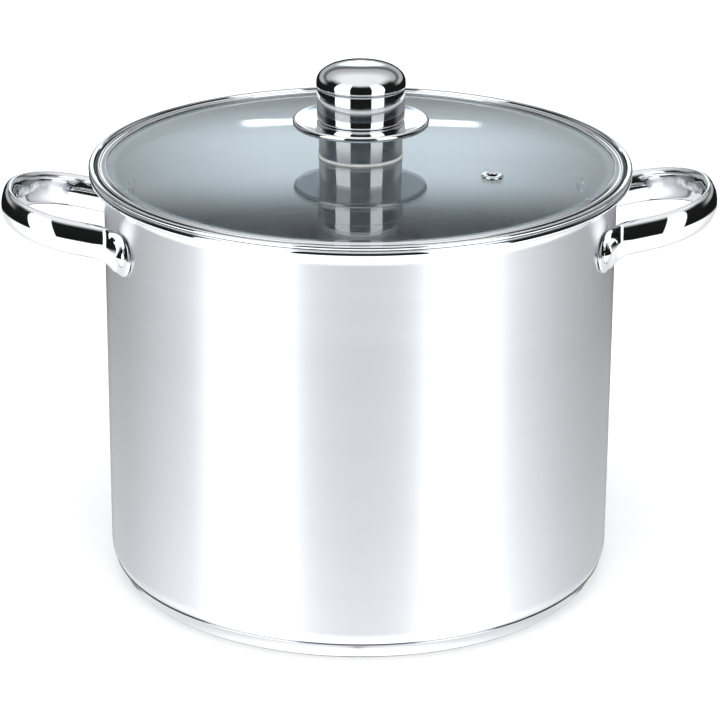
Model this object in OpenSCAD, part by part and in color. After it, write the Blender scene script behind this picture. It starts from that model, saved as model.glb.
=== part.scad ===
// Water bath canner: a tall stainless pot with an encapsulated base, two riveted tube handles,
// a glass lid with a steel rim and a screwed knob, and a wire jar rack with folding handles.
// The origin is the centre of the resting face, +Z is up, and the handles lie along X.

/* [Pot] */
// Outer radius of the pot's wall
pot_r = 160; // [150:1:175]
// Thickness of the steel sheet
sheet_t = 0.8; // [0.6:0.1:1.2]
// Height of the top of the rolled lip
lip_z = 266.7; // [220:0.1:300]
// Radius of the rolled bead at the lip
lip_bead_r = 2.6; // [2:0.1:3.2]
// Radius of the flare between the wall and the lip
flare_r = 6.5; // [5:0.1:8]
// Outer radius of the corner between the wall and the bottom
corner_r = 14; // [12:0.5:18]

/* [Base] */
// Height of the underside of the pot's own sheet, above the resting face
floor_z = 5.5; // [4:0.1:8]
// Thickness of the capsule's steel sheet
capsule_t = 0.8; // [0.5:0.1:1.2]
// Largest radius of the capsule's upright lower edge
capsule_r = 153; // [150:0.5:153]
// Height of the seam where the capsule ends on the pot's corner
seam_z = 11.5; // [9:0.5:13]

/* [Handles] */
// Distance between the centre lines of a handle's two arms
arm_gap = 92.8; // [80:0.1:100]
// Length of a handle from the wall's chord to its tip's centre line, along its own slope
handle_reach = 69; // [60:0.5:80]
// Slope of a handle above the horizontal, in degrees
handle_tilt = 12; // [0:1:20]
// Height of the flattened tube
tube_h = 21.3; // [16:0.1:24]
// Width of the flattened tube
tube_w = 10.2; // [8:0.1:12]
// Wall of the flattened tube
tube_t = 1.2; // [0.8:0.1:2]
// Bend radius of the corners of the loop
loop_corner_r = 42.5; // [35:0.5:46]
// Height of the middle of a handle's mounting tongue
tongue_z = 229.5; // [200:0.1:240]
// Half the height of the mounting tongue, where the tube is pressed flat
tongue_r = 13; // [11:0.5:14]
// Angle of the end of the mounting tongue from the X axis, in degrees
tongue_az = 28; // [26:0.5:30]
// Thickness of the mounting tongue
tongue_t = 2.2; // [1.5:0.1:3]
// Angle of a rivet from the X axis, in degrees
rivet_az = 24; // [20:0.5:25]
// Radius of a rivet's head
rivet_head_r = 6.5; // [5:0.1:8]
// Radius of a rivet's shank
rivet_r = 3; // [2:0.1:4]

/* [Lid] */
// Thickness of the tempered glass
glass_t = 4; // [3:0.1:5]
// Radius of the glass disc
glass_r = 160.6; // [160:0.1:160.8]
// Height of the glass dome at its middle above its edge
glass_rise = 4.8; // [3:0.1:12]
// Outer radius of the steel rim
rim_r = 169.1; // [168:0.1:171]
// Clearance between the lid and the pot's lip
lid_gap = 0.3; // [0.2:0.05:0.6]
// Depth of the rim's skirt below the lip
skirt_depth = 12.7; // [6:0.1:18]
// Distance of the steam vent from the lid's axis
vent_dist = 89.5; // [70:0.5:120]
// Angle of the steam vent from the X axis, in degrees
vent_az = -28.3; // [-180:0.1:180]
// Radius of the vent's hole
vent_hole_r = 2.95; // [2:0.05:4]
// Radius of the vent eyelet's flange
vent_flange_r = 6.75; // [5.5:0.05:8]

/* [Knob] */
// Radius of the knob's lower collar
collar_r = 26; // [20:0.5:30]
// Height of the collar
collar_h = 18.3; // [12:0.1:24]
// Radius of the finger guard under the grip
guard_r = 42.5; // [34:0.5:50]
// Radius of the grip's upright wall
grip_r = 27.3; // [22:0.1:32]
// Height of the grip's wall
grip_h = 20.5; // [12:0.1:24]
// Radius of the cap
cap_r = 27.7; // [27.5:0.1:33]
// Height of the cap
cap_h = 15.5; // [12:0.1:24]

/* [Jar rack] */
// Radius of the rack's ring wires
rack_r = 140; // [135:0.5:142]
// Radius of the ring wire itself
ring_wire_r = 2.5; // [2:0.1:3]
// Radius of the thinner wires
wire_r = 2; // [1.5:0.1:2.3]
// Height of the lower ring
rack_low_z = 22; // [20:0.5:30]
// Height of the upper ring
rack_high_z = 85; // [60:1:120]
// Radius of the middle jar's loop
hub_r = 50; // [47:0.5:52]
// Number of dividing spokes, which is the number of outer jars
spokes = 6; // [5:1:7]
// Distance between the wires that the jars stand on
floor_pitch = 36; // [24:1:45]
// Length of a folding handle from its pivot
bail_reach = 70; // [50:1:78]
// Distance between a folding handle's arms
bail_width = 66; // [50:1:72]

/* [Hidden] */

ROUND = 180;      // sides of the large turned shapes
SMALL = 48;       // sides of wires, rivets and screws
WELD = 0.1;       // depth to which two crossing wires melt into each other

steel = "#c9ccd0";
mirror_steel = "#dfe2e5";
aluminium = "#b9bbbd";
glass = "#b9c7c4";
black_plastic = "#202124";
silicone = "#d9d9d4";
brass = "#c8a95a";

// ---- derived places of the pot
pot_in_r = pot_r - sheet_t;
flare_c = [pot_in_r + flare_r, lip_z - flare_r];
bead_c = [flare_c[0] + 0.7, lip_z - lip_bead_r];
corner_c = [pot_r - corner_r, floor_z + corner_r];

// ---- derived places of the lid
lid_z = lip_z + lid_gap;                       // underside of the rim's flange
edge_r = glass_t / 2;                          // the glass has a round, pencil-ground edge
edge_c = [glass_r - edge_r, lid_z - 0.6];      // centre of that edge
dome_r = (edge_c[0] * edge_c[0] + glass_rise * glass_rise) / (2 * glass_rise);
dome_cz = edge_c[1] + glass_rise - dome_r;     // centre of the sphere through the glass's middle layer
glass_top = dome_cz + dome_r + edge_r;
glass_bottom = glass_top - glass_t;
vent_tilt = asin(vent_dist / dome_r);

// ---- derived heights of the knob
gasket_t = 1.3;                                // over the dome's middle, where it is pressed thinnest
collar_z = glass_top + gasket_t;
guard_z = collar_z + collar_h;
guard_t = 3.9;
grip_z = guard_z + guard_t - 0.7;
cap_z = grip_z + grip_h;
screw_r = 3;
core_r = 12;
insert_r = 5;
screw_tip = cap_z - 4;

// ---- derived places of the rack
rack_foot_z = floor_z + sheet_t + 0.3;
floor_wire_z = rack_low_z + ring_wire_r + wire_r - WELD;
divider_z = rack_high_z + 1.3;
eye_r = 3.2;
pin_gap = 0.1;
pivot_z = rack_high_z + ring_wire_r + eye_r - WELD;
eye_y = 40;                                    // the eyes stand on the ring this far either side
eye_len = 8;
pivot_x = sqrt(rack_r * rack_r - eye_y * eye_y);

// Points along an arc about c, from angle a0 to a1, in n steps
function arc(c, r, a0, a1, n = 12) = [for (i = [0 : n]) c + r * [cos(a0 + (a1 - a0) * i / n),
    sin(a0 + (a1 - a0) * i / n)]];

module turned(sides = ROUND) {
    rotate_extrude($fn = sides) children();
}

// A round wire between two points in space
module wire(a, b, r) {
    d = b - a;
    len = norm(d);
    translate(a)
        rotate([0, acos(d[2] / len), atan2(d[1], d[0])])
            cylinder(r = r, h = len, $fn = SMALL);
}

module wire_ring(radius, r) {
    turned() translate([radius, 0]) circle(r = r, $fn = SMALL);
}

// ---- pot

// One face of the pot's sheet, from the middle of the bottom to the end of the rolled bead, at a
// depth d below the sheet's outer face
function sheet_line(d) = concat([[0, floor_z + d]], arc(corner_c, corner_r - d, -90, 0, 16),
    arc(flare_c, flare_r - sheet_t + d, 180, 90, 12), arc(bead_c, lip_bead_r - sheet_t + d, 90, -165, 24));

function reversed(list) = [for (i = [len(list) - 1 : -1 : 0]) list[i]];

module pot_section() {
    polygon(concat(sheet_line(0), reversed(sheet_line(sheet_t))));
}

// The whole space inside the pot's outer surface, for cutting pieces that fit against it
module pot_outside() {
    above = corner_c[1] + corner_r;
    turned() polygon(concat([[0, floor_z]], arc(corner_c, corner_r, -90, 0, 16), [[pot_r, above], [0, above]]));
}

// Puts its children on the wall at each rivet, with X pointing out of the wall
module at_rivets() {
    for (side = [0, 180], az = [-rivet_az, rivet_az])
        rotate([0, 0, side + az]) translate([0, 0, tongue_z]) children();
}

module pot_body() {
    color(steel) difference() {
        turned() pot_section();
        at_rivets() translate([pot_in_r - 5, 0, 0]) rotate([0, 90, 0])
            cylinder(r = rivet_r, h = 10, $fn = SMALL);
    }
}

// ---- base

// The capsule's outside, or its inside at a depth d: a round lower edge, then a wall that leans
// out to the seam on the pot's corner
module capsule_blank(d) {
    edge = 3;
    seam_r = corner_c[0] + sqrt(corner_r * corner_r - pow(corner_c[1] - seam_z, 2));
    turned() polygon(concat([[0, d]], arc([capsule_r - edge, edge], edge - d, -90, 0, 8),
        [[seam_r + 0.5 - d, seam_z], [0, seam_z]]));
}

module base_core() {
    color(aluminium) difference() {
        capsule_blank(capsule_t);
        pot_outside();
    }
}

module base_capsule() {
    color(mirror_steel) difference() {
        capsule_blank(0);
        pot_outside();
        capsule_blank(capsule_t);
    }
}

// ---- handles

// Flattened tube in section: X is across the tube, Y is its height
module tube_outline(shrink) {
    r = tube_w / 2 - shrink;
    h = (tube_h - tube_w) / 2;
    polygon(concat(arc([0, h], r, 0, 180, 10), arc([0, -h], r, 180, 360, 10)));
}

// The loop's centre line: two arms, two quarter bends and a short straight across the tip
tail = 12;        // the arms start inside the wall and are cut off there
corner_x = handle_reach - loop_corner_r;
corner_y = arm_gap / 2 - loop_corner_r;

module loop(shrink) {
    for (s = [-1, 1]) {
        translate([-tail, s * arm_gap / 2, 0]) rotate([90, 0, 90])
            linear_extrude(corner_x + tail) tube_outline(shrink);
        translate([corner_x, s * corner_y, 0]) rotate([0, 0, s > 0 ? 0 : -90])
            rotate_extrude(angle = 90, $fn = ROUND) translate([loop_corner_r, 0]) tube_outline(shrink);
    }
    translate([handle_reach, corner_y, 0]) rotate([90, 0, 0])
        linear_extrude(2 * corner_y) tube_outline(shrink);
}

root_x = sqrt(pot_r * pot_r - arm_gap * arm_gap / 4) - 2;
root_z = tongue_z + 0.6;

module in_handle_plane() {
    translate([root_x, 0, root_z]) rotate([0, -handle_tilt, 0]) children();
}

// The tongue follows the wall outwards from the arm and ends in a half round about the rivet
module tongue(s) {
    inner_y = arm_gap / 2 - tube_w / 2;
    end_y = (pot_r + tongue_t) * sin(tongue_az) - tongue_r;
    intersection() {
        difference() {
            translate([0, 0, tongue_z - tube_h]) cylinder(r = pot_r + tongue_t, h = 2 * tube_h, $fn = ROUND);
            translate([0, 0, tongue_z - tube_h - 1]) cylinder(r = pot_r, h = 2 * tube_h + 2, $fn = ROUND);
        }
        translate([pot_r / 2, 0, tongue_z]) rotate([90, 0, 90]) linear_extrude(pot_r) union() {
            translate([s * end_y, 0]) circle(r = tongue_r, $fn = SMALL);
            translate([s > 0 ? inner_y : -end_y, -tongue_r]) square([end_y - inner_y, 2 * tongue_r]);
        }
    }
}

module handle() {
    color(mirror_steel) difference() {
        union() {
            difference() {
                in_handle_plane() loop(0);
                translate([0, 0, tongue_z - 2 * tube_h]) cylinder(r = pot_r, h = 4 * tube_h, $fn = ROUND);
            }
            tongue(-1);
            tongue(1);
        }
        in_handle_plane() loop(tube_t);
        at_rivets() translate([pot_r - 5, 0, 0]) rotate([0, 90, 0])
            cylinder(r = rivet_r, h = 15, $fn = SMALL);
    }
}

module handle_right() {
    handle();
}

module handle_left() {
    rotate([0, 0, 180]) handle();
}

// A low dome of radius r and height h, standing on Z = 0
module low_dome(r, h) {
    ball = (r * r + h * h) / (2 * h);
    half = asin(r / ball);
    turned(SMALL) polygon(concat([[0, 0]], arc([0, h - ball], ball, 90 - half, 90, 8)));
}

module handle_rivets() {
    color(mirror_steel) at_rivets() rotate([0, 90, 0]) {
        inner = pot_in_r - 0.15;
        translate([0, 0, inner]) cylinder(r = rivet_r, h = pot_r + tongue_t - inner, $fn = SMALL);
        translate([0, 0, pot_r + tongue_t]) low_dome(rivet_head_r, 2.6);
        translate([0, 0, inner]) mirror([0, 0, 1]) low_dome(rivet_head_r - 0.5, 2.2);
    }
}

// ---- lid

// Points of a shell's arc about the dome's centre, at a distance d from the glass's middle layer
function dome_arc(d, r0, r1, n = 20) = [for (i = [0 : n]) let (r = r0 + (r1 - r0) * i / n,
    a = asin(r / dome_r)) [0, dome_cz] + (dome_r + d) * [sin(a), cos(a)]];

module glass_section() {
    edge_a = asin(edge_c[0] / dome_r);
    polygon(concat(dome_arc(edge_r, 0, edge_c[0]),
        [for (a = arc([0, 0], edge_r, 90 - edge_a - 15, -90 - edge_a + 15, 10)) edge_c + a],
        dome_arc(-edge_r, edge_c[0], 0)));
}

module at_vent() {
    rotate([0, 0, vent_az]) translate([0, 0, dome_cz]) rotate([0, vent_tilt, 0])
        translate([0, 0, dome_r]) children();
}

eyelet_t = 0.7;

module lid_glass() {
    color(glass, 0.4) difference() {
        turned() glass_section();
        translate([0, 0, glass_bottom - 1]) cylinder(r = screw_r + 1.5, h = glass_t + 2, $fn = SMALL);
        at_vent() translate([0, 0, -glass_t]) cylinder(r = vent_hole_r + eyelet_t, h = 2 * glass_t, $fn = SMALL);
    }
}

// The steel rim: a channel crimped round the glass's edge, a bead, a groove, a rounded flange
// that lies on the lip, and a skirt that centres the lid in the mouth of the pot
module rim_section() {
    slack = 0.05;                      // between the glass and the channel
    channel = edge_r + 0.6;
    flange_r = 1.3;
    flange_c = [rim_r - flange_r, lid_z + flange_r];
    bead_c = [edge_c[0] + 4.2, lid_z + 1.3];
    bead_r = 1.05;
    skirt_t = 0.7;
    skirt_x = edge_c[0] - 0.5;
    skirt_z = lid_z - skirt_depth;
    polygon(concat([[skirt_x - skirt_t, skirt_z], [skirt_x, skirt_z]],
        arc(edge_c, channel, -101, asin((lid_z - edge_c[1]) / channel), 12),
        arc(flange_c, flange_r, -90, 100, 12), [[rim_r - 3, lid_z + 2.1], [rim_r - 3.5, lid_z + 0.9],
        [rim_r - 4.6, lid_z + 0.8]], arc(bead_c, bead_r, -10, 165, 10),
        arc(edge_c, channel, 50, 92, 6), arc(edge_c, edge_r + slack, 92, -97, 18),
        [[skirt_x - skirt_t, edge_c[1] - edge_r - slack - 0.3]]));
}

module lid_rim() {
    color(mirror_steel) turned() rim_section();
}

// A steel eyelet: a rolled flange on the glass and a tube through it
module vent_eyelet() {
    color(mirror_steel) at_vent() {
        turned(SMALL) translate([vent_hole_r, 0]) {
            translate([0, -edge_r - 1]) square([eyelet_t, glass_t + 1]);
            translate([0, edge_r]) polygon(concat([[0, 0], [vent_flange_r - vent_hole_r, 0]],
                arc([vent_flange_r - vent_hole_r - 0.9, 0.3], 0.9, 0, 90, 6), [[0.9, 1.2]],
                arc([0.9, 0.3], 0.9, 90, 180, 6)));
        }
    }
}

module vent_washer() {
    color(mirror_steel) at_vent() difference() {
        translate([0, 0, -edge_r - 0.9]) cylinder(r = vent_flange_r - 0.9, h = 0.8, $fn = SMALL);
        translate([0, 0, -edge_r - 2]) cylinder(r = vent_hole_r + eyelet_t, h = 3, $fn = SMALL);
    }
}

// ---- knob

// Half outline of the glass's upper surface, thickened upwards, for cutting soft rings to fit it
module above_glass(h) {
    turned() polygon(concat(dome_arc(edge_r, 0, 40, 8), [[40, glass_top + h], [0, glass_top + h]]));
}

module knob_gasket_top() {
    color(silicone) intersection() {
        above_glass(gasket_t);
        difference() {
            translate([0, 0, glass_bottom]) cylinder(r = collar_r + 0.4, h = 20, $fn = ROUND);
            translate([0, 0, glass_bottom - 1]) cylinder(r = collar_r - 4, h = 22, $fn = ROUND);
        }
    }
}

module knob_collar() {
    color(mirror_steel) turned() translate([0, collar_z]) {
        translate([collar_r - sheet_t, 0]) square([sheet_t, collar_h]);
        translate([core_r, collar_h - sheet_t]) square([collar_r - core_r, sheet_t]);
    }
}

// A saucer that keeps the fingers off the hot glass: dished sheet with a rolled edge
module knob_guard() {
    roll = guard_t / 2;
    color(mirror_steel) turned() translate([0, guard_z]) {
        polygon([[core_r, 0], [grip_r + 3, 0], [guard_r - roll, 0.2], [guard_r - roll, 1.2],
            [guard_r - roll, guard_t], [guard_r - roll - 2, guard_t - 0.3], [grip_r + 4, guard_t - 0.7],
            [core_r, guard_t - 0.7]]);
        translate([guard_r - roll, roll]) circle(r = roll, $fn = SMALL);
    }
}

module knob_grip() {
    edge = 2.2;
    color(mirror_steel) turned() translate([0, grip_z])
        polygon(concat([[grip_r - edge, 0]], arc([grip_r - edge, edge], edge, -90, 0, 8),
            [[grip_r, grip_h], [grip_r - sheet_t, grip_h], [grip_r - sheet_t, edge]],
            arc([grip_r - edge, edge], edge - sheet_t, 0, -90, 8)));
}

// The cap bulges out over the grip and closes in a round dome
module knob_cap() {
    bulge = 4;            // height of the upright band under the dome
    dome_h = cap_h - bulge;
    top_t = 1.2;
    shoulder = 3;         // the sheet is thickest where the dome meets the band
    squareness = 0.72;    // under 1 makes the dome curve faster towards its edge
    color(mirror_steel) turned() translate([0, cap_z]) difference() {
        polygon(concat([[0, 0], [grip_r, 0], [cap_r, 1.2]], [for (i = [0 : 14]) let (a = 90 * i / 14)
            [cap_r * pow(cos(a), squareness), bulge + dome_h * sin(a)]]));
        polygon(concat([[0, -1], [grip_r - sheet_t, -1], [grip_r - sheet_t, bulge]],
            [for (i = [0 : 12]) let (a = 90 * i / 12)
                [(cap_r - shoulder) * pow(cos(a), squareness), bulge + (dome_h - top_t) * sin(a)]]));
    }
}

// Moulded core: a spigot inside the collar and a plug that fills the grip
module knob_core() {
    plug_r = grip_r - sheet_t;
    color(black_plastic) turned() polygon([[insert_r, collar_z + 1], [core_r, collar_z + 1],
        [core_r, grip_z], [plug_r - 2.2, grip_z], [plug_r - 1.7, grip_z + 1], [plug_r - 0.7, grip_z + 2],
        [plug_r - 0.3, grip_z + 4], [plug_r - 0.3, cap_z + 3], [insert_r, cap_z + 3]]);
}

module knob_insert() {
    color(brass) difference() {
        translate([0, 0, collar_z + 3]) cylinder(r = insert_r, h = cap_z - collar_z - 1, $fn = SMALL);
        translate([0, 0, collar_z]) cylinder(r = screw_r, h = screw_tip - collar_z, $fn = SMALL);
    }
}

module knob_gasket_bottom() {
    color(silicone) difference() {
        translate([0, 0, glass_bottom - 2]) cylinder(r = 14, h = 2 + 0.2, $fn = ROUND);
        turned() polygon(concat(dome_arc(-edge_r, 0, 40, 8), [[40, glass_top], [0, glass_top]]));
        translate([0, 0, glass_bottom - 3]) cylinder(r = screw_r, h = 6, $fn = SMALL);
    }
}

module knob_washer() {
    color(steel) difference() {
        translate([0, 0, glass_bottom - 3.2]) cylinder(r = 12, h = 1.2, $fn = ROUND);
        translate([0, 0, glass_bottom - 4]) cylinder(r = screw_r, h = 4, $fn = SMALL);
    }
}

// Pan-head screw with a crossed recess, driven from under the glass into the insert
module knob_screw() {
    head_z = glass_bottom - 3.2;
    color(steel) difference() {
        union() {
            translate([0, 0, head_z]) cylinder(r = screw_r, h = screw_tip - head_z, $fn = SMALL);
            translate([0, 0, head_z]) mirror([0, 0, 1]) low_dome(6, 3.2);
        }
        for (a = [0, 90]) rotate([0, 0, a]) translate([-2.6, -0.6, head_z - 4]) cube([5.2, 1.2, 2.8]);
    }
}

// ---- jar rack

module rack_lower_ring() {
    color(steel) translate([0, 0, rack_low_z]) wire_ring(rack_r, ring_wire_r);
}

module rack_upper_ring() {
    color(steel) translate([0, 0, rack_high_z]) wire_ring(rack_r, ring_wire_r);
}

// Straight wires that the jars stand on, welded across the lower ring
module rack_floor_wires() {
    rows = floor((rack_r - 12) / floor_pitch);
    color(steel) for (i = [-rows : rows]) {
        y = i * floor_pitch;
        half = sqrt(pow(rack_r, 2) - y * y) + 1;
        wire([-half, y, floor_wire_z], [half, y, floor_wire_z], wire_r);
    }
}

// Two bars under the floor wires, ending inside the lower ring
module rack_cross_bars() {
    bar_x = 70;
    half = sqrt(pow(rack_r - ring_wire_r + WELD, 2) - bar_x * bar_x);
    z = floor_wire_z - 2 * wire_r + WELD;
    color(steel) for (x = [-bar_x, bar_x]) wire([x, -half, z], [x, half, z], wire_r);
}

// Four bent wire feet, each a U whose legs end in the lower ring
module rack_feet() {
    span = 16;
    leg_x = sqrt(rack_r * rack_r - span * span);
    low = rack_foot_z + wire_r;
    color(steel) for (a = [45 : 90 : 315]) rotate([0, 0, a]) translate([leg_x, 0, 0]) {
        for (s = [-1, 1]) {
            wire([0, s * span, low], [0, s * span, rack_low_z - ring_wire_r + WELD], wire_r);
            translate([0, s * span, low]) sphere(r = wire_r, $fn = SMALL);
        }
        wire([0, -span, low], [0, span, low], wire_r);
    }
}

// Upright wires outside the two rings, one beside each spoke
module rack_uprights() {
    r = rack_r + ring_wire_r + wire_r - WELD;
    color(steel) for (i = [0 : spokes - 1]) rotate([0, 0, i * 360 / spokes])
        wire([r, 0, rack_low_z - ring_wire_r], [r, 0, rack_high_z + ring_wire_r], wire_r);
}

module rack_hub_loop() {
    color(steel) translate([0, 0, divider_z]) wire_ring(hub_r, wire_r);
}

module rack_spokes() {
    inner = hub_r + wire_r - WELD;
    outer = rack_r - 1.1;
    color(steel) for (i = [0 : spokes - 1]) rotate([0, 0, i * 360 / spokes])
        difference() {
            wire([inner, 0, divider_z], [outer, 0, divider_z], wire_r);
            translate([0, 0, rack_high_z]) wire_ring(rack_r, ring_wire_r - WELD);
        }
}

// Short tubes on the upper ring that the folding handles turn in
module rack_pivot_eyes() {
    color(steel) for (sx = [-1, 1], sy = [-1, 1])
        translate([sx * pivot_x, sy * eye_y, pivot_z]) rotate([90, 0, 0]) difference() {
            cylinder(r = eye_r, h = eye_len, center = true, $fn = SMALL);
            cylinder(r = wire_r + pin_gap, h = eye_len + 2, center = true, $fn = SMALL);
        }
}

// A folding handle lying inwards: its two ends turn outwards through the eyes
module bail() {
    bend = 12;
    arm_y = bail_width / 2;
    tip_x = pivot_x - bail_reach;
    color(steel) translate([0, 0, pivot_z]) {
        for (s = [-1, 1]) {
            wire([pivot_x, s * arm_y, 0], [pivot_x, s * (eye_y + eye_len / 2 + 2), 0], wire_r);
            translate([pivot_x, s * arm_y, 0]) sphere(r = wire_r, $fn = SMALL);
            wire([tip_x + bend, s * arm_y, 0], [pivot_x, s * arm_y, 0], wire_r);
            translate([tip_x + bend, s * (arm_y - bend), 0]) rotate([0, 0, s > 0 ? 90 : 180])
                rotate_extrude(angle = 90, $fn = SMALL * 2)
                    translate([bend, 0]) circle(r = wire_r, $fn = SMALL);
        }
        wire([tip_x, -arm_y + bend, 0], [tip_x, arm_y - bend, 0], wire_r);
    }
}

module rack_bail_right() {
    bail();
}

module rack_bail_left() {
    rotate([0, 0, 180]) bail();
}

pot_body();
base_core();
base_capsule();
handle_left();
handle_right();
handle_rivets();
lid_glass();
lid_rim();
vent_eyelet();
vent_washer();
knob_cap();
knob_grip();
knob_guard();
knob_collar();
knob_core();
knob_insert();
knob_gasket_top();
knob_gasket_bottom();
knob_washer();
knob_screw();
rack_lower_ring();
rack_floor_wires();
rack_cross_bars();
rack_feet();
rack_uprights();
rack_upper_ring();
rack_hub_loop();
rack_spokes();
rack_pivot_eyes();
rack_bail_left();
rack_bail_right();
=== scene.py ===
# %% [markdown]
# # A water bath canner
# A tall stainless pot with two tube handles, a glass lid with a steel rim and a knob, and a wire
# rack for the jars. The measured model comes first, as a fixed frame. The pieces that catch the
# light are then modelled again by hand, finer than the measured ones, and given their finishes.

# %% Load the measured frame
import math
import bmesh
import bpy
from mathutils import Matrix, Vector


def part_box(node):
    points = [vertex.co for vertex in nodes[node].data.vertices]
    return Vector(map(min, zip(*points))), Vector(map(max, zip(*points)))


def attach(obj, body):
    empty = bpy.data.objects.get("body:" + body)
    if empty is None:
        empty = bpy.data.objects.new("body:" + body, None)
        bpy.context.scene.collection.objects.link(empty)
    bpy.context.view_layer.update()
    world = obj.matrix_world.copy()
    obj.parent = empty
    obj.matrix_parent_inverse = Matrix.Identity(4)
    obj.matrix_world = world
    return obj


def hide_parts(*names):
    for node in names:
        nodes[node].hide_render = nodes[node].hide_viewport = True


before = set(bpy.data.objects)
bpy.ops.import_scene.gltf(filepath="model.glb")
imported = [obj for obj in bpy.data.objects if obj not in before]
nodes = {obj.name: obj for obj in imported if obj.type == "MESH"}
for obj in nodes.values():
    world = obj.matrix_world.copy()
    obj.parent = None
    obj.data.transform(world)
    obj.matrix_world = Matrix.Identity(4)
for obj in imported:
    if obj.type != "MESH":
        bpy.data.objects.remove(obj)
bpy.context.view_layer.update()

MM = 0.001
WELD = 2e-6  # points nearer to each other than this, in metres, become one

# %% [markdown]
# ## Drawing a section
# Most of this object was made on a lathe or in a round press, so each piece starts as half of its
# section: points of radius and height, in millimetres. Straight parts need two points, and a bend
# is a short arc of points.

# %% Arcs for sections
def arc(centre, radius, start, end, steps):
    """Points on an arc, with angles in degrees."""
    turn = [math.radians(start + (end - start) * i / steps) for i in range(steps + 1)]
    return [(centre[0] + radius * math.cos(a), centre[1] + radius * math.sin(a)) for a in turn]

print("arc:", len(arc((0, 0), 1, 0, 90, 8)), "points in a quarter bend")

# %% [markdown]
# ## Spinning a section
# By hand you would add one vertex, extrude it from point to point along the section, and spin the
# line round the Z axis. The helper does the same with the same operators. The doubles on the seam
# and at the pole are merged before the normals are turned outwards.

# %% The spinning helper
def only(piece):
    """Leaves just this piece selected."""
    bpy.ops.object.select_all(action="DESELECT")
    piece.select_set(True)
    bpy.context.view_layer.objects.active = piece

def finish_mesh(piece, angle=35):
    """Puts the piece's place in its mesh and smooths the faces that meet under this angle."""
    only(piece)
    bpy.ops.object.transform_apply(location=True, rotation=True, scale=True)
    bpy.ops.object.shade_smooth_by_angle(angle=math.radians(angle))
    return piece

def spun(name, section, sides, angle=35):
    """Spins a section of points of radius and height into a piece."""
    bpy.ops.object.select_all(action="DESELECT")
    r, z = section[0]
    bpy.ops.mesh.primitive_plane_add(size=MM, location=(r * MM, 0, z * MM))
    piece = bpy.context.object
    piece.name = piece.data.name = name
    bpy.ops.object.mode_set(mode="EDIT")
    bpy.ops.mesh.select_all(action="SELECT")
    bpy.ops.mesh.merge(type="CENTER")
    for (r0, z0), (r1, z1) in zip(section, section[1:]):
        step = ((r1 - r0) * MM, 0, (z1 - z0) * MM)
        bpy.ops.mesh.extrude_region_move(TRANSFORM_OT_translate={"value": step})
    bpy.ops.mesh.select_all(action="SELECT")
    bpy.ops.mesh.spin(steps=sides, angle=2 * math.pi, center=(0, 0, 0), axis=(0, 0, 1))
    bpy.ops.mesh.select_all(action="SELECT")
    bpy.ops.mesh.remove_doubles(threshold=WELD)
    bpy.ops.mesh.normals_make_consistent(inside=False)
    bpy.ops.object.mode_set(mode="OBJECT")
    print(name, "spun:", len(piece.data.polygons), "faces")
    return finish_mesh(piece, angle)

# %% [markdown]
# ## The camera
# A long lens, looking down on the lid from about 21 degrees. The camera stands a little to the
# left of the line square to the handles, so the right handle is the farther one.

# %% Set the camera
turn, roll = math.radians(2.41), math.radians(0.338)
target = Vector((0.0004, 0.0, 0.1361))
place = Vector((-0.0772, -1.8435, 0.8388))
ahead = (target - place).normalized()
right = Vector((math.cos(turn), -math.sin(turn), 0))
up = right.cross(ahead)
across = right * math.cos(roll) + up * math.sin(roll)
above = up * math.cos(roll) - right * math.sin(roll)
camera_data = bpy.data.cameras.new("camera")
camera_data.lens, camera_data.sensor_width = 154.54, 36  # mm, on a full frame
camera = bpy.data.objects.new("camera", camera_data)
bpy.context.scene.collection.objects.link(camera)
camera.matrix_world = Matrix.Translation(place) @ Matrix((across, above, -ahead)).transposed().to_4x4()
bpy.context.scene.camera = camera
print("camera:", round(place.length, 2), "m away, looking down",
      round(math.degrees(math.asin(-ahead.z)), 1), "degrees")

# %% [markdown]
# ## The pot
# A pot like this is deep-drawn from one sheet 0.8 mm thick. Its mouth is flared, and the lip is
# rolled back under itself so that no raw edge is left. The section follows the sheet's outer face
# from the middle of the bottom up to the roll, and comes back down along the inner face. One point
# part of the way along the bottom and two up the wall keep the long straight faces apart.

# %% The pot's section
pot_low, pot_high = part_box("pot_body")
floor_z, lip_z = pot_low.z / MM, pot_high.z / MM
pot_r, sheet = 160.0, 0.8
corner, corner_r = (146.0, floor_z + 14), 14.0
flare, flare_r = (165.7, lip_z - 6.5), 6.5
bead, bead_r = (166.4, lip_z - 2.6), 2.6
bottom_split, wall_splits = 110, (90, 180)
big_round = 288  # sides of the pieces as wide as the pot

def sheet_face(depth):
    """One face of the sheet, at a depth below its outer face."""
    return ([(0, floor_z + depth), (bottom_split, floor_z + depth)]
            + arc(corner, corner_r - depth, -90, 0, 20) + [(pot_r - depth, z) for z in wall_splits]
            + arc(flare, flare_r - sheet + depth, 180, 90, 14)
            + arc(bead, bead_r - sheet + depth, 90, -165, 24))

pot = spun("stockpot", sheet_face(0) + sheet_face(sheet)[::-1], big_round)

# %% [markdown]
# ## The capsule under the pot
# The base is an aluminium disc pressed between the pot and a steel cup. The cup's underside is a
# little hollow, and its edge leans out and ends on the pot's corner, where it leaves a fine seam
# all the way round. The pot's finish paints shade along that seam as a dark line.

# %% The capsule
seam_z = 11.5
seam_r = corner[0] + math.sqrt(corner_r ** 2 - (corner[1] - seam_z) ** 2)
hollow, hollow_r = 0.45, 138
foot_r, foot_round = 150, 3
disc_top = 5.2

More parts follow.
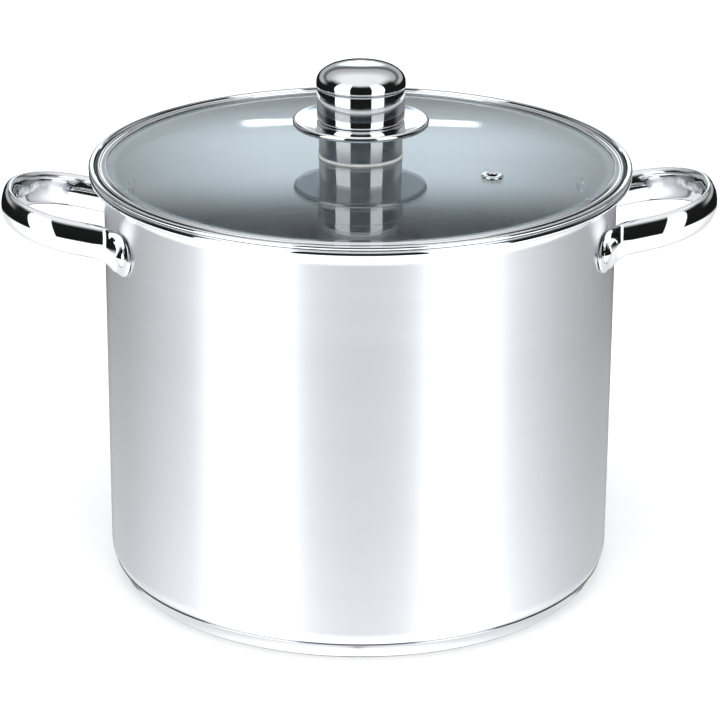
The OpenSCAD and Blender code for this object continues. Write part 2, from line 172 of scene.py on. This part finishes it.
capsule = spun("base_cup", [(0, hollow), (hollow_r, hollow)] + arc((hollow_r + 1.2, 0.9), 0.9, -90, -60, 3)
               + [(hollow_r + 3.5, 0), (foot_r, 0)] + arc((foot_r, foot_round), foot_round, -90, -14, 8)
               + [(seam_r + 0.45, seam_z - 0.75)] + arc((seam_r + 0.1, seam_z - 0.55), 0.42, -20, 110, 6)
               + [(seam_r - 1.2, seam_z - 1.3), (foot_r + 2.4, disc_top + 1), (foot_r, disc_top),
                  (0, disc_top)], big_round)

# %% [markdown]
# ## The lid's glass
# Tempered glass 4 mm thick, pressed into a shallow dome, with its edge ground round. The two faces
# are arcs about one centre, so the glass is equally thick all over and doesn't work as a lens.

# %% The glass section
glass_r, glass_t = 160.6, 4.0
lid_z = lip_z + 0.3
edge = (glass_r - glass_t / 2, lid_z - 0.6)
rise = 4.8
dome_r = (edge[0] ** 2 + rise ** 2) / (2 * rise)
dome = (0, edge[1] + rise - dome_r)
lean = math.degrees(math.asin(edge[0] / dome_r))

glass_section = (arc(dome, dome_r + glass_t / 2, 90, 90 - lean, 24)
                 + arc(edge, glass_t / 2, 80 - lean, -80 - lean, 10)
                 + arc(dome, dome_r - glass_t / 2, 90 - lean, 90, 24))
glass = spun("glass_disc", glass_section, big_round, 60)

# %% [markdown]
# The steam vent needs a hole through the glass. A Boolean cuts it cleanly but leaves long thin
# faces whose shading would show, so the cut glass takes its normals from an uncut copy.

# %% Cut the vent's hole
vent_dist, vent_az = 89.5, math.radians(-28.3)
vent_hole_r = 3.65
vent_tilt = math.asin(vent_dist / dome_r)
vent_place = (Matrix.Rotation(vent_az, 4, "Z") @ Matrix.Translation((0, 0, dome[1] * MM))
              @ Matrix.Rotation(vent_tilt, 4, "Y") @ Matrix.Translation((0, 0, dome_r * MM)))

def cut_hole(piece, place, radius):
    """Drills a round hole through the piece and keeps the shading it had."""
    only(piece)
    bpy.ops.object.duplicate()
    whole = bpy.context.object
    bpy.ops.object.select_all(action="DESELECT")
    bpy.ops.mesh.primitive_cylinder_add(vertices=48, radius=radius * MM, depth=20 * MM)
    drill = bpy.context.object
    drill.matrix_world = place
    only(piece)
    cut = piece.modifiers.new("hole", "BOOLEAN")
    cut.operation, cut.solver, cut.object = "DIFFERENCE", "EXACT", drill
    bpy.ops.object.modifier_apply(modifier=cut.name)
    keep = piece.modifiers.new("shading", "DATA_TRANSFER")
    keep.object, keep.use_loop_data = whole, True
    keep.data_types_loops, keep.loop_mapping = {"CUSTOM_NORMAL"}, "POLYINTERP_NEAREST"
    bpy.ops.object.modifier_apply(modifier=keep.name)
    for helper in (drill, whole):
        bpy.data.objects.remove(helper)
    print(piece.name, "drilled:", len(piece.data.polygons), "faces")

cut_hole(glass, vent_place, vent_hole_r)

# %% [markdown]
# ## The lid's steel rim
# A rolled strip is crimped round the glass: a channel that holds it, a bead, a groove, a rounded
# flange that lies on the pot's lip, and a skirt that keeps the lid in the mouth of the pot.

# %% The rim
rim_r = 169.1
channel = glass_t / 2 + 0.6
flange = (rim_r - 1.3, lid_z + 1.3)
rim_bead = (edge[0] + 4.2, lid_z + 1.3)
skirt_x, skirt_z, skirt_t = edge[0] - 0.5, lid_z - 12.7, 0.7
skirt_foot = [(skirt_x - skirt_t, skirt_z + 0.3), (skirt_x - 0.55, skirt_z + 0.06), (skirt_x - 0.35, skirt_z),
              (skirt_x - 0.15, skirt_z + 0.06), (skirt_x, skirt_z + 0.3)]
groove = [(rim_r - 2.9, lid_z + 2.3), (rim_r - 3.2, lid_z + 1.5),
          (rim_r - 3.7, lid_z + 0.85), (rim_r - 4.5, lid_z + 0.8)]
rim = spun("steel_rim", skirt_foot
           + arc(edge, channel, -101, math.degrees(math.asin((lid_z - edge[1]) / channel)), 16)
           + arc(flange, 1.3, -90, 100, 20) + groove
           + arc(rim_bead, 1.05, -20, 160, 18) + arc(edge, channel, 55, 92, 8)
           + [(edge[0] - 0.3, edge[1] + 2.3)] + arc(edge, glass_t / 2 + 0.05, 92, -97, 20)
           + [(skirt_x - skirt_t, edge[1] - glass_t / 2 - 0.4), skirt_foot[0]], big_round, 40)

# %% [markdown]
# ## The steam vent
# A turned eyelet: a rounded flange on top of the glass and a thin tube through it. It is spun
# upright at the origin and then leaned over to stand square on the dome.

# %% The vent
def stand(piece, place):
    """Moves a piece that was modelled at the origin to its place."""
    piece.matrix_world = place
    return finish_mesh(piece)

vent_bore, vent_tube, vent_end, vent_seat = 2.95, vent_hole_r + 0.01, -2.9, glass_t / 2 + 0.02
vent = spun("vent_eyelet_ring", [(vent_bore, vent_end)] + arc((vent_bore + 0.7, 2.45), 0.7, 180, 100, 6)
            + arc((5.85, 2.3), 0.9, 80, -20, 8) + [(6.3, vent_seat), (vent_tube, vent_seat),
                                                   (vent_tube, vent_end), (vent_bore, vent_end)], 96, 50)
stand(vent, vent_place)

# %% [markdown]
# ## The knob
# Four pressed pieces of polished steel are stacked on one screw: a collar on the glass, a dished
# guard that keeps the fingers off the hot lid, an upright grip, and a domed cap that bulges a
# little over the grip. The plastic core, insert, gaskets, washer and screw stay as measured.

# %% The knob's pieces
collar_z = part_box("knob_collar")[0].z / MM
guard_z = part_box("knob_guard")[0].z / MM
grip_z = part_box("knob_grip")[0].z / MM
cap_z, cap_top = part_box("knob_cap")[0].z / MM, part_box("knob_cap")[1].z / MM
core_r, collar_r, grip_r, cap_r = 12, 26, 27.3, 27.7
plate = 0.8  # the thickness of the knob's pressed steel
knob_round = 192  # sides of the knob's pieces

collar_foot = (collar_r - 0.7, collar_z + 0.3)
collar = spun("knob_base_collar", [collar_foot] + arc((collar_r - 0.35, collar_z + 0.35), 0.35, -180, 0, 6)
              + [(collar_r, collar_z + 10), (collar_r, guard_z), (core_r, guard_z), (core_r, guard_z - plate),
                 (collar_r - plate, guard_z - plate), collar_foot], knob_round)

guard_lip = (40.55, guard_z + 1.95)
guard = spun("finger_guard", [(core_r, guard_z), (30, guard_z)] + arc(guard_lip, 1.95, -100, 100, 20)
             + [(38.4, guard_z + 3.75), (34, guard_z + 3.25), (30, guard_z + 3.18),
                (core_r, guard_z + 3.2), (core_r, guard_z)], knob_round, 40)

grip_bend, grip_bend_r = (grip_r - 2.2, grip_z + 2.2), 2.2
grip_in_r, grip_foot_r = grip_r - plate, 24
grip = spun("knob_grip_sleeve", [(grip_foot_r, grip_z), (grip_bend[0], grip_z)]
            + arc(grip_bend, grip_bend_r, -90, 0, 12)
            + [(grip_r, grip_z + 9), (grip_r, cap_z), (grip_in_r, cap_z), (grip_in_r, grip_z + 9)]
            + arc(grip_bend, grip_bend_r - plate, 0, -90, 8)
            + [(grip_foot_r, grip_z + plate), (grip_foot_r, grip_z)], knob_round)

# %% [markdown]
# The cap is the piece the light shows best, so its dome is drawn in forty steps: over the grip is a
# narrow shadow line, then a short upright band, and a dome that curves faster towards its edge.

# %% The cap
bulge, squareness, dome_steps = 4.0, 0.72, 40
cap_rise = cap_top - cap_z - bulge
dome_line = [(cap_r * math.cos(a) ** squareness, cap_z + bulge + cap_rise * math.sin(a))
             for a in (math.radians(90 * i / dome_steps) for i in range(dome_steps))]
cap = spun("knob_dome_cap", [(0, cap_z + 0.05), (cap_r - 1.5, cap_z + 0.05), (cap_r - 0.4, cap_z + 0.1),
                             (cap_r - 0.08, cap_z + 0.7), (cap_r, cap_z + 1.4)]
           + dome_line + [(0, cap_top)], knob_round, 60)

# %% [markdown]
# ## The side handles
# Each handle is a round tube that was flattened to an oval and bent into a loop. Its two ends are
# pressed flat, turned out along the wall and riveted. A curve with a bevel could make the loop but
# not the flattening, so the handle is laid out as ribs, one ring across the tube at a time, and
# neighbouring ribs are bridged.

# %% The ribbing helper
def ribbed(name, ribs, sides=40):
    """Bridges rings. A rib is its centre, its forward direction, its half width and half height."""
    piece = None
    for centre, forward, half_width, half_height in ribs:
        forward = Vector(forward).normalized()
        side = forward.cross((0, 0, 1)).normalized()
        facing = Matrix((side, side.cross(forward), -forward)).transposed().to_euler()
        bpy.ops.object.select_all(action="DESELECT")
        bpy.ops.mesh.primitive_circle_add(vertices=sides, radius=MM, location=Vector(centre) * MM,
                                          rotation=facing)
        ring = bpy.context.object
        ring.scale = (half_width, half_height, 1)
        bpy.ops.object.transform_apply(location=True, rotation=True, scale=True)
        if piece is None:
            piece = ring
            piece.name = piece.data.name = name
        else:
            piece.select_set(True)
            bpy.context.view_layer.objects.active = piece
            bpy.ops.object.join()
    bpy.ops.object.mode_set(mode="EDIT")
    for i in range(len(ribs) - 1):
        bpy.ops.mesh.select_all(action="DESELECT")
        rings = bmesh.from_edit_mesh(piece.data)
        rings.verts.ensure_lookup_table()
        for vertex in rings.verts[i * sides:(i + 2) * sides]:
            vertex.select = True
        rings.select_flush(True)
        bpy.ops.mesh.bridge_edge_loops()
    bpy.ops.mesh.select_all(action="SELECT")
    bpy.ops.mesh.fill_holes(sides=sides)
    bpy.ops.mesh.remove_doubles(threshold=WELD)
    bpy.ops.mesh.normals_make_consistent(inside=False)
    bpy.ops.object.mode_set(mode="OBJECT")
    print(name, "ribbed:", len(piece.data.polygons), "faces")
    return finish_mesh(piece, 40)

# %% [markdown]
# The loop lies in a plane that rises 12 degrees from the wall. Near the wall the ribs leave that
# plane: they grow thinner, turn outwards along the wall, stand upright, and close in a half round
# beyond the rivet.

# %% Lay out the handle's ribs
tilt = math.radians(12)
tongue_z, tongue_r = 229.5, 13.0
arm_y = 46.4
root = Vector((math.sqrt(pot_r ** 2 - arm_y ** 2) - 2, 0, tongue_z + 0.6))
half_w, half_h = 5.1, 10.65

def in_plane(x, y, heading):
    """A rib of the loop, from its place and heading in the sloping plane."""
    c, s = math.cos(tilt), math.sin(tilt)
    centre = root + Vector((x * c, y, x * s))
    forward = Vector((math.cos(heading) * c, math.sin(heading), math.cos(heading) * s))
    return centre, forward, half_w, half_h

def on_wall(az, lift, half_width, half_height):
    """A rib of the tongue, at an angle round the wall and a distance off it."""
    a = math.radians(az)
    centre = Vector(((pot_r + lift) * math.cos(a), (pot_r + lift) * math.sin(a), tongue_z))
    return centre, Vector((-math.sin(a), math.cos(a), 0)), half_width, half_height

def free(x, y, z, heading, slope, half_width, half_height):
    """A rib of the stretch between the loop and the tongue."""
    h = math.radians(heading)
    return Vector((x, y, z)), Vector((math.cos(h), math.sin(h), slope)), half_width, half_height

tip, bend_r = 69.0, 42.5
bend_x, bend_y = tip - bend_r, arm_y - bend_r
bend_steps = 24
half_loop = [in_plane(tip, 0, math.pi / 2)]
for i in range(bend_steps + 1):
    a = math.radians(90 * i / bend_steps)
    half_loop.append(in_plane(bend_x + bend_r * math.cos(a), bend_y + bend_r * math.sin(a), a + math.pi / 2))
half_loop += [in_plane(x, arm_y, math.pi) for x in (20, 15, 12)]
half_loop += [free(160.6, 46.8, 231.9, 170, -0.18, 4.7, 10.8),
              free(158.4, 47.7, 231.2, 157, -0.14, 4.0, 11.1),
              free(156.6, 49.1, 230.6, 142, -0.10, 3.3, 11.5),
              free(155.2, 50.9, 230.1, 130, -0.06, 2.6, 12.0),
              free(153.9, 53.1, 229.7, 120, -0.02, 2.0, 12.5),
              free(152.6, 55.7, 229.5, 114, 0, 1.55, 12.9)]
half_loop += [on_wall(az, lift, half_width, tongue_r)
              for az, lift, half_width in ((21.2, 1.35, 1.2), (22.6, 1.15, 1.05), (23.6, 1.1, 1.0))]
end_az, end_lift = 28.0, 1.1
end_arc = math.degrees(tongue_r / pot_r)
for angle in (5, 15, 25, 35, 45, 54, 62, 69, 75, 80, 84, 87.5):
    a = math.radians(angle)
    half_width = 1.0 if angle < 85 else 0.5
    end = end_az - end_arc * (1 - math.sin(a))
    half_loop.append(on_wall(end, end_lift, half_width, tongue_r * math.cos(a)))

def other_side(rib):
    """The same rib, mirrored to the handle's other arm."""
    centre, forward, half_width, half_height = rib
    mirrored = Vector((centre.x, -centre.y, centre.z)), Vector((-forward.x, forward.y, -forward.z))
    return *mirrored, half_width, half_height

ribs = [other_side(rib) for rib in half_loop[:0:-1]] + half_loop
handle_right = ribbed("side_handle_right", ribs)

# %% [markdown]
# The second handle is the same bend, so it is a copy with its own mesh, turned half round the pot.

# %% Copy the handle
def copy_turned(piece, name, degrees):
    """A copy with its own mesh, turned about the pot's axis."""
    only(piece)
    bpy.ops.object.duplicate()
    twin = bpy.context.object
    twin.name = twin.data.name = name
    twin.matrix_world = Matrix.Rotation(math.radians(degrees), 4, "Z") @ twin.matrix_world
    only(twin)
    bpy.ops.object.transform_apply(location=True, rotation=True, scale=True)
    print(twin.name, "copied")
    return twin

handle_left = copy_turned(handle_right, "side_handle_left", 180)

# %% [markdown]
# ## The rivets
# Two rivets hold each handle. A rivet is one turned piece: a low head outside, its shank, and a
# flatter head inside the pot. One is spun upright, laid over to point out of the wall, and copied.

# %% The rivets
rivet_az, shank_r = 24, 3
inner, outer = pot_r - sheet - 0.1, pot_r + 2.1

def low_dome(base, radius, height, up):
    """The section of a low dome with a small rounded rim, standing on base."""
    ball = (radius ** 2 + height ** 2) / (2 * height)
    half = math.degrees(math.asin(radius / ball))
    line = [(r, base + up * (z - (ball - height))) for r, z in arc((0, 0), ball, 90 - half * 0.96, 90, 10)]
    return [(radius, base), (radius + 0.05, base + up * 0.25)] + line

rivet = spun("handle_rivet_1", low_dome(inner, 6.0, 2.2, -1)[::-1] + [(shank_r, inner), (shank_r, outer)]
             + low_dome(outer, 6.5, 2.6, 1), 64, 50)
rivet.matrix_world = (Matrix.Rotation(math.radians(rivet_az), 4, "Z")
                      @ Matrix.Translation((0, 0, tongue_z * MM)) @ Matrix.Rotation(math.pi / 2, 4, "Y"))
finish_mesh(rivet, 50)
rivets = [rivet] + [copy_turned(rivet, f"handle_rivet_{i}", turn)
                    for i, turn in ((2, -2 * rivet_az), (3, 180), (4, 180 - 2 * rivet_az))]

# %% [markdown]
# ## Shader maths
# A finish is written as sums on values. `Value` wraps one socket, and each operator adds a Math
# node. Every other node comes from `Finish.node`, which sets the node's options first and then
# fills or links its sockets.

# %% The shader helpers
class Value:
    """One socket, which sums can be written with."""
    def __init__(self, finish, socket):
        self.finish, self.socket = finish, socket

    def maths(self, operation, other=None, first=None):
        sockets = {0: self if first is None else first}
        if other is not None:
            sockets[1] = other
        return self.finish.node("ShaderNodeMath", {"operation": operation}, sockets)

    def __add__(self, other): return self.maths("ADD", other)
    __radd__ = __add__
    def __mul__(self, other): return self.maths("MULTIPLY", other)
    __rmul__ = __mul__
    def __sub__(self, other): return self.maths("SUBTRACT", other)
    def __rsub__(self, other): return self.maths("SUBTRACT", self, first=other)
    def __truediv__(self, other): return self.maths("DIVIDE", other)

class Finish:
    """A node tree that is being written."""
    def __init__(self, tree):
        self.tree = tree
        tree.nodes.clear()

    def node(self, kind, settings=None, sockets=None, out=0):
        made = self.tree.nodes.new(kind)
        for key, value in (settings or {}).items():
            if key == "stops":
                ramp = made.color_ramp
                while len(ramp.elements) < len(value):
                    ramp.elements.new(0.5)
                for stop, (place, tone) in zip(ramp.elements, value):
                    stop.position = place
                    stop.color = (*tone, 1) if isinstance(tone, tuple) else (tone, tone, tone, 1)
            else:
                setattr(made, key, value)
        for key, value in (sockets or {}).items():
            if isinstance(value, Value):
                self.tree.links.new(value.socket, made.inputs[key])
            else:
                made.inputs[key].default_value = value
        return Value(self, made.outputs[out]) if made.outputs else made

    def parts(self, vector):
        """The X, Y and Z of a vector."""
        x = self.node("ShaderNodeSeparateXYZ", None, {0: vector})
        return [Value(self, socket) for socket in x.socket.node.outputs]

    def blend(self, factor, first, second):
        """The first colour where the factor is 0 and the second where it is 1."""
        first, second = [c if isinstance(c, Value) else (*c, 1) for c in (first, second)]
        return self.node("ShaderNodeMix", {"data_type": "RGBA"},
                         {"Factor": factor, 6: first, 7: second}, out=2)

    def ease(self, value, low, high, start=0.0, end=1.0):
        """Rises smoothly from start to end while the value goes from low to high."""
        return self.node("ShaderNodeMapRange", {"interpolation_type": "SMOOTHSTEP"},
                         {"Value": value, "From Min": low, "From Max": high, "To Min": start, "To Max": end})

def finish(name):
    """A new material, with its tree and its object coordinates in metres."""
    material = bpy.data.materials.new(name)
    material.use_nodes = True
    f = Finish(material.node_tree)
    f.material = material
    f.place = f.node("ShaderNodeTexCoord", out="Object")
    return f

def close(f, shader):
    """Ends a material's tree with its shader."""
    f.node("ShaderNodeOutputMaterial", None, {"Surface": shader})
    print("finish:", f.material.name, len(f.tree.nodes), "nodes")
    return f.material

def shade(tone, part):
    """A tone made darker, to this part of itself."""
    return [c * part for c in tone]

print("shader helpers ready")

# %% [markdown]
# ## Satin steel
# The wall was brushed round and round, which leaves fine level scratches. They spread a reflection
# up and down but hardly sideways, so the shader is anisotropic, with its direction turned a
# quarter. A stretched noise gives the scratches themselves, and the lip was polished afterwards.
# The inside was only drawn, so it is smoother at the bottom and duller, in patches, towards the
# mouth. Along the joint over the base cup the colour is painted near black, as painted shade in the seam.

# %% The pot's finish
def within(f, radius):
    """One nearer the pot's axis than this radius, and zero outside it."""
    flat = f.node("ShaderNodeVectorMath", {"operation": "MULTIPLY"}, {0: f.place, 1: (1, 1, 0)})
    reach = f.node("ShaderNodeVectorMath", {"operation": "LENGTH"}, {0: flat}, out="Value")
    return f.ease(reach, (radius - 0.1) * MM, (radius + 0.1) * MM, 1.0, 0.0)

lip_from = 254  # the height where the polished lip begins

def brushed_steel(name, tone, rough, wall=None, spread=0.75, quarter=0.25):
    """Steel with level scratches. A pot's wall gives its radius, its joint, where shade is painted, and where
    its lip starts.
    """
    f = finish(name)
    height = f.parts(f.place)[2]
    level = f.node("ShaderNodeMapping", None, {"Vector": f.place, "Scale": (6, 6, 2600)})
    hair = f.node("ShaderNodeTexNoise", None, {"Vector": level, "Scale": 1.0, "Detail": 3.0, "Roughness": 0.6})
    broad = f.node("ShaderNodeMapping", None, {"Vector": f.place, "Scale": (9, 9, 60)})
    cloud = f.node("ShaderNodeTexNoise", None, {"Vector": broad, "Scale": 1.0, "Detail": 2.0})
    roughness = rough + (hair - 0.5) * 0.10 + (cloud - 0.5) * 0.05
    colour = f.blend(f.ease(cloud * 0.5 + hair * 0.5, 0.3, 0.7), shade(tone, 0.95), tone)
    if wall:
        outer_r, joint_z, lip_from = wall
        inside = within(f, outer_r - sheet / 2)
        flat = f.node("ShaderNodeMapping", None, {"Vector": f.place, "Scale": (1, 1, 0.05)})
        draw = f.node("ShaderNodeTexNoise", None, {"Vector": flat, "Scale": 26.0, "Detail": 3.0})
        drawn = 0.10 + (0.35 + draw * 0.4) * f.ease(height, 165 * MM, 225 * MM)
        roughness = roughness * (1 - inside) + inside * drawn
        bright = f.ease(height, lip_from * MM, (lip_from + 2.5) * MM)
        roughness = roughness * (1 - bright) + bright * 0.07
        # Painted shade: a near-black band along the joint over the base cup stands in for the shade in the
        # seam.
        painted_joint_shade = (f.ease(height, (joint_z - 0.9) * MM, (joint_z - 0.7) * MM)
                 * f.ease(height, (joint_z + 1.3) * MM, (joint_z + 1.6) * MM, 1.0, 0.0)) * (1 - inside)
        colour = f.blend(painted_joint_shade, colour, (0.03, 0.03, 0.035))
    bump = f.node("ShaderNodeBump", None, {"Strength": 0.10, "Distance": 0.00004, "Height": hair})
    shader = f.node("ShaderNodeBsdfPrincipled", None,
                    {"Base Color": colour, "Metallic": 1.0, "Roughness": roughness, "Normal": bump,
                     "Anisotropic": spread, "Anisotropic Rotation": quarter})
    return close(f, shader)

satin = brushed_steel("satin_pot_steel", (0.88, 0.90, 0.925), 0.34, wall=(pot_r, seam_z, lip_from))
dull = brushed_steel("plain_fastener_steel", (0.62, 0.63, 0.64), 0.34, spread=0.0, quarter=0.0)

# %% [markdown]
# ## Polished steel
# The handles, knob, rim and rivets were buffed on a wheel. What shows is the room around them, with
# only hairline scratches and the faint smears that fingers leave, which dull the shine in patches.
# The rim's skirt was left satin, because it hangs inside the pot, and its groove is painted near
# black, as painted shade.

# %% The polished finish
def polished_steel(name, tone, rough, smears=0.05, satin_within=None, painted_shade_ring=None):
    """Buffed steel, which may be satin within a radius and painted dark, as shade, between two others."""
    f = finish(name)
    smear = f.node("ShaderNodeTexNoise", None,
                   {"Vector": f.place, "Scale": 38.0, "Detail": 4.0, "Roughness": 0.6})
    hair = f.node("ShaderNodeTexNoise", None, {"Vector": f.place, "Scale": 900.0, "Detail": 2.0})
    patch = f.ease(smear, 0.52, 0.72)
    roughness = rough + patch * smears + (hair - 0.5) * 0.02
    if satin_within is not None:
        roughness = roughness + within(f, satin_within) * 0.35
    colour = f.blend(patch, tone, shade(tone, 0.96))
    # Painted shade: between the two radii the colour is near black, standing in for the shade in a groove.
    if painted_shade_ring is not None:
        painted_groove_shade = within(f, painted_shade_ring[1]) * (1 - within(f, painted_shade_ring[0]))
        roughness = roughness + painted_groove_shade * 0.3
        colour = f.blend(painted_groove_shade, colour, (0.03, 0.03, 0.032))
    bump = f.node("ShaderNodeBump", None, {"Strength": 0.02, "Distance": 0.00003, "Height": hair})
    shader = f.node("ShaderNodeBsdfPrincipled", None,
                    {"Base Color": colour, "Metallic": 1.0, "Roughness": roughness, "Normal": bump})
    return close(f, shader)

bright_tone, bright_rough = (0.90, 0.91, 0.925), 0.035
mirror = polished_steel("polished_steel", bright_tone, bright_rough)
cup_steel = polished_steel("base_cup_steel", (0.82, 0.83, 0.85), 0.13, 0.08)
# The rim's groove, between its bead and its flange, gets painted shade.
rim_steel = polished_steel("rim_steel", bright_tone, bright_rough, satin_within=skirt_x + 0.1,
                           painted_shade_ring=(rim_bead[0] + 0.95, rim_r - 3.3))
wire_steel = polished_steel("rack_wire_steel", (0.78, 0.79, 0.81), 0.12, 0.10)

# %% [markdown]
# ## Glass
# Clear tempered glass with a faint blue tint. A thin film dulls it a little in patches, and the
# surface is slightly wavy from pressing, too little to see except in a sharp reflection.

# %% The glass finish
f = finish("tempered_glass")
wave = f.node("ShaderNodeTexNoise", None, {"Vector": f.place, "Scale": 22.0, "Detail": 1.0})
film = f.node("ShaderNodeTexNoise", None,
              {"Vector": f.place, "Scale": 70.0, "Detail": 4.0, "Roughness": 0.65})
bump = f.node("ShaderNodeBump", None, {"Strength": 0.05, "Distance": 0.0003, "Height": wave})
clear = f.node("ShaderNodeBsdfPrincipled", None,
               {"Base Color": (0.91, 0.97, 0.995, 1), "Roughness": f.ease(film, 0.5, 0.8) * 0.04, "IOR": 1.5,
                "Transmission Weight": 1.0, "Normal": bump})
glass_finish = close(f, clear)

# %% [markdown]
# ## Plastic, silicone, brass and aluminium
# These sit inside the knob and the base. Each gets the surface that it really leaves the mould or
# the lathe with, because the lid can be lifted and looked at from below.

# %% The hidden finishes
def plain_finish(name, tone, rough, metal, scale, depth, stretch=(1, 1, 1)):
    """A plain colour with a fine grain, which is finer the larger its scale."""
    f = finish(name)
    grain_place = f.node("ShaderNodeMapping", None, {"Vector": f.place, "Scale": stretch})
    grain = f.node("ShaderNodeTexNoise", None, {"Vector": grain_place, "Scale": scale, "Detail": 3.0})
    colour = f.blend(f.ease(grain, 0.3, 0.7), shade(tone, 0.86), tone)
    bump = f.node("ShaderNodeBump", None, {"Strength": 0.3, "Distance": depth, "Height": grain})
    roughness = rough + (grain - 0.5) * 0.15
    shader = f.node("ShaderNodeBsdfPrincipled", None,
                    {"Base Color": colour, "Metallic": metal, "Roughness": roughness, "Normal": bump})
    return close(f, shader)

plastic = plain_finish("black_knob_plastic", (0.022, 0.022, 0.024), 0.5, 0.0, 1800, 0.00005)
silicone = plain_finish("silicone_gasket", (0.80, 0.80, 0.77), 0.55, 0.0, 600, 0.00003)
brass = plain_finish("turned_brass", (0.75, 0.57, 0.24), 0.3, 1.0, 8, 0.00004, (1, 1, 300))
aluminium = plain_finish("cast_aluminium", (0.75, 0.75, 0.74), 0.45, 1.0, 500, 0.00006)

# %% [markdown]
# ## Give every piece its finish
# A new piece takes a material slot of its own. A measured node keeps its mesh, and only the
# material in its slot is changed.

# %% Dress the pieces
def dress(piece, material):
    """Gives the piece this one material."""
    piece.data.materials.clear()
    piece.data.materials.append(material)

made = {
    pot: ("pot", "pot_steel", satin, ["pot_body"]),
    capsule: ("pot", "base_steel", cup_steel, ["base_capsule"]),
    handle_left: ("pot", "handle_steel", mirror, ["handle_left"]),
    handle_right: ("pot", "handle_steel", mirror, ["handle_right"]),
    glass: ("lid", "lid_glass", glass_finish, ["lid_glass"]),
    rim: ("lid", "rim_steel", rim_steel, ["lid_rim"]),
    vent: ("lid", "vent_steel", mirror, ["vent_eyelet"]),
    collar: ("lid", "knob_steel", mirror, ["knob_collar"]),
    guard: ("lid", "knob_steel", mirror, ["knob_guard"]),
    grip: ("lid", "knob_steel", mirror, ["knob_grip"]),
    cap: ("lid", "knob_steel", mirror, ["knob_cap"]),
}
made.update({piece: ("pot", "rivet_steel", mirror, ["handle_rivets"]) for piece in rivets})
for piece, (body, slot, material, stands_for) in made.items():
    dress(piece, material)
    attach(piece, body)
    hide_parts(*stands_for)

kept = {"base_core": aluminium, "vent_washer": mirror, "knob_core": plastic, "knob_insert": brass,
        "knob_gasket_top": silicone, "knob_gasket_bottom": silicone, "knob_washer": dull, "knob_screw": dull}
kept.update({name: wire_steel for name in nodes if name.startswith("rack_")})
for name, material in kept.items():
    dress(nodes[name], material)
print("dressed:", len(made), "new pieces and", len(kept), "measured ones")

# %% [markdown]
# ## The studio
# The pot stands on a plain pale floor in an even white light. Polished steel is all reflection, so
# the floor is left out of reflections, and the steel and the glass see a painted room instead.

# %% The floor
bpy.ops.object.select_all(action="DESELECT")
floor_size = 14  # metres
bpy.ops.mesh.primitive_plane_add(size=floor_size, location=(0, 0, 0))
floor = bpy.context.object
floor.name = "studio_floor"
f = finish("pale_floor")
speck = f.node("ShaderNodeTexNoise", None, {"Vector": f.place, "Scale": 40.0, "Detail": 3.0})
tone = f.blend(speck, (0.86, 0.86, 0.86), (0.90, 0.90, 0.90))
matt = f.node("ShaderNodeBsdfDiffuse", None, {"Color": tone, "Roughness": 1.0})
dress(floor, close(f, matt))
floor.visible_glossy = False

# %% [markdown]
# The room is painted on the sky by direction. Azimuth is 0 towards the camera and grows to the
# right, and elevation is above the horizon, both in degrees. Low down is a pale floor, brighter in
# a broad stretch on each side of the camera, which makes the two bright bands on the pot's wall,
# and dark straight behind. Higher up the room is dark in front, with a white box on each side of the
# camera, and grey behind, with a darker band. The ceiling is white. The lid reflects a pale blue
# patch straight behind, with a thin lamp in it.

# %% The room
world = bpy.data.worlds.new("studio")
bpy.context.scene.world = world
world.use_nodes = True
w = Finish(world.node_tree)
ray = w.node("ShaderNodeTexCoord", out="Generated")
x, y, z = w.parts(ray)
degrees, camera_az = 180 / math.pi, 2.4
az = x.maths("ARCTAN2", 0 - y) * degrees + camera_az
el = z.maths("ARCSINE") * degrees
from_front = az.maths("ABSOLUTE")

def band(value, start, end, soft):
    """One between start and end, and zero outside, with soft edges."""
    return w.ease(value, start - soft, start + soft) * w.ease(value, end - soft, end + soft, 1.0, 0.0)

def towards(value, goal, share):
    """The value, moved towards the goal by a share from 0 to 1."""
    return value + (goal - value) * share

# The floor's tones once round the pot: from behind by the left, the camera and the right
floor_left = [(0.00, 0.40), (0.08, 0.38), (0.134, 0.39), (0.18, 0.48), (0.22, 0.58), (0.25, 0.64),
              (0.285, 0.68), (0.32, 0.72), (0.38, 0.76), (0.41, 0.74), (0.44, 0.69), (0.46, 0.64)]
floor_right = [(0.50, 0.60), (0.535, 0.62), (0.56, 0.66), (0.61, 0.73), (0.67, 0.76), (0.70, 0.78),
               (0.73, 0.69), (0.76, 0.60), (0.79, 0.50), (0.84, 0.41), (0.90, 0.34), (1.00, 0.38)]
round_floor = w.node("ShaderNodeValToRGB", {"stops": floor_left + floor_right}, {"Fac": (az + 180) / 360})
floor_light, box_light, lamp_light, blue_light, ceiling = 2.3, 1.5, 3.5, 1.25, 0.95

ground = round_floor * floor_light * w.ease(from_front, 163, 168, 1.0, 0.15)
behind = w.ease(from_front, 95, 125)
boxes = band(az, -71, -28, 1) + band(az, 28, 63, 1)
back_wall = w.ease(el, 3, 9) * 0.45 - band(el, 21, 31, 2) * 0.3
room = 0.01 + boxes * box_light + behind * back_wall
room = towards(room, ceiling, w.ease(el, 34, 62))
room = room + band(from_front, 177, 190, 0.3) * band(el, 12.7, 13.4, 0.15) * lamp_light
room = towards(room, ground, w.ease(el, -20, -17.5, 1.0, 0.0))
glossy = w.node("ShaderNodeLightPath", out="Is Glossy Ray")
even_light = 1.6
light = even_light * (1 - glossy) + room * glossy
sky = w.node("ShaderNodeBackground", None, {"Color": (0.98, 0.99, 1, 1), "Strength": light})
glow = w.ease(from_front, 170.5, 178) * w.ease(el, 9, 16) * w.ease(el, 18.5, 24.5, 1.0, 0.0)
blue = w.node("ShaderNodeBackground", None,
              {"Color": (0.76, 0.91, 1, 1), "Strength": glow * glossy * blue_light})
both = w.node("ShaderNodeAddShader", None, {0: sky, 1: blue})
w.node("ShaderNodeOutputWorld", None, {"Surface": both})
bpy.context.scene.view_settings.view_transform = "Standard"
print("studio:", len(w.tree.nodes), "nodes in the room")
